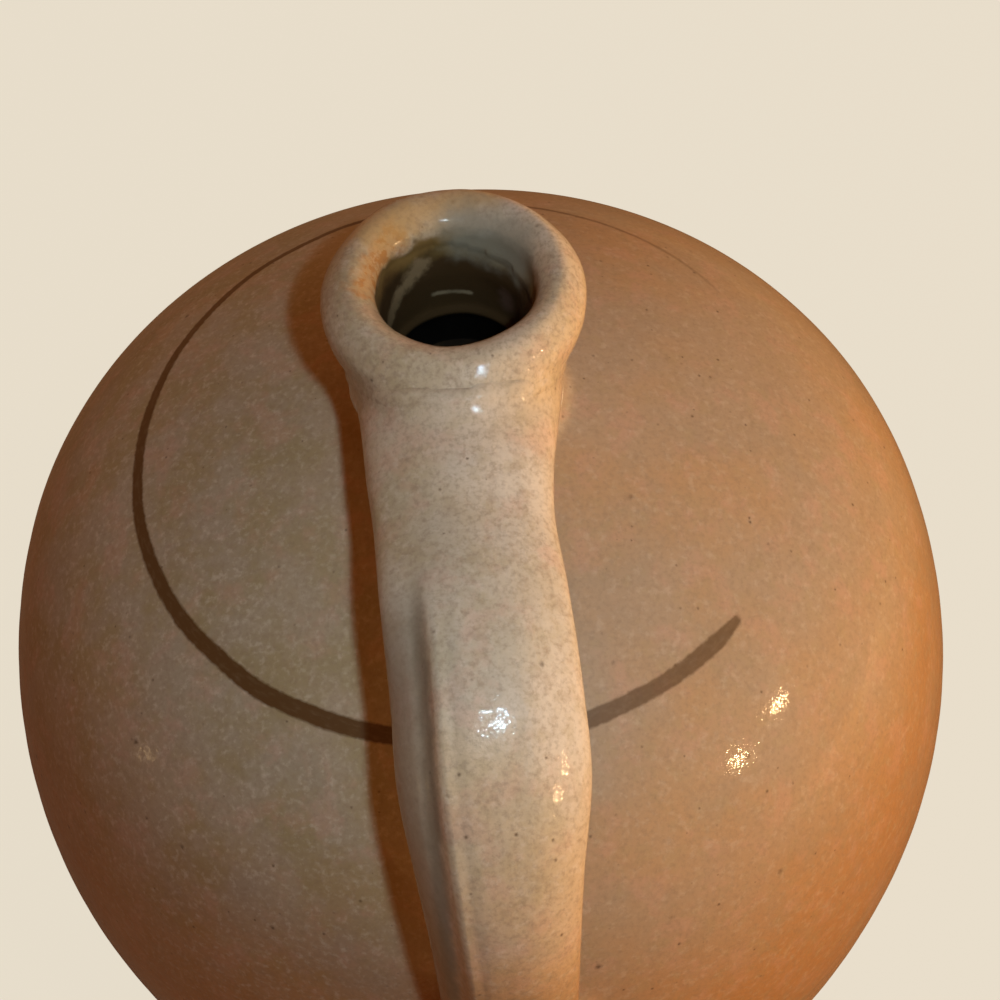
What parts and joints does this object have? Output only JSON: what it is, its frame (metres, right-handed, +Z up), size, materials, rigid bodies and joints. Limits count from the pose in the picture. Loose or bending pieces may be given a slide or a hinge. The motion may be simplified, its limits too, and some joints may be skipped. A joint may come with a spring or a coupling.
{
  "type": "stoneware jug",
  "caption": "Semi-ovoid salt-glazed stoneware jug with a narrow throat, a rolled lip and a broad strap handle from neck to shoulder.",
  "frame": {"origin": "centre of the flat foot, on the turning axis", "axes": "+Z up the turning axis, -Y towards the handle"},
  "size_m": [0.238, 0.2411, 0.3232],
  "materials": {
    "toasted_clay": "bare, matte, toasted orange-brown stoneware",
    "body_glaze": "salt glaze, glossy orange peel over tan clay with iron specks and a painted brown line",
    "neck_glaze": "thicker salt glaze, pale grey-beige, dark inside the throat",
    "handle_glaze": "speckled salt glaze, pale grey-beige"
  },
  "bodies": {
    "root": {"floor_disc": "toasted_clay", "lower_wall": "body_glaze", "shoulder_dome": "body_glaze", "neck_collar": "neck_glaze", "lip_roll": "neck_glaze", "handle_strap": "handle_glaze", "handle_root_wad": "handle_glaze", "handle_tail_pad": "handle_glaze"}
  },
  "joints": []
}
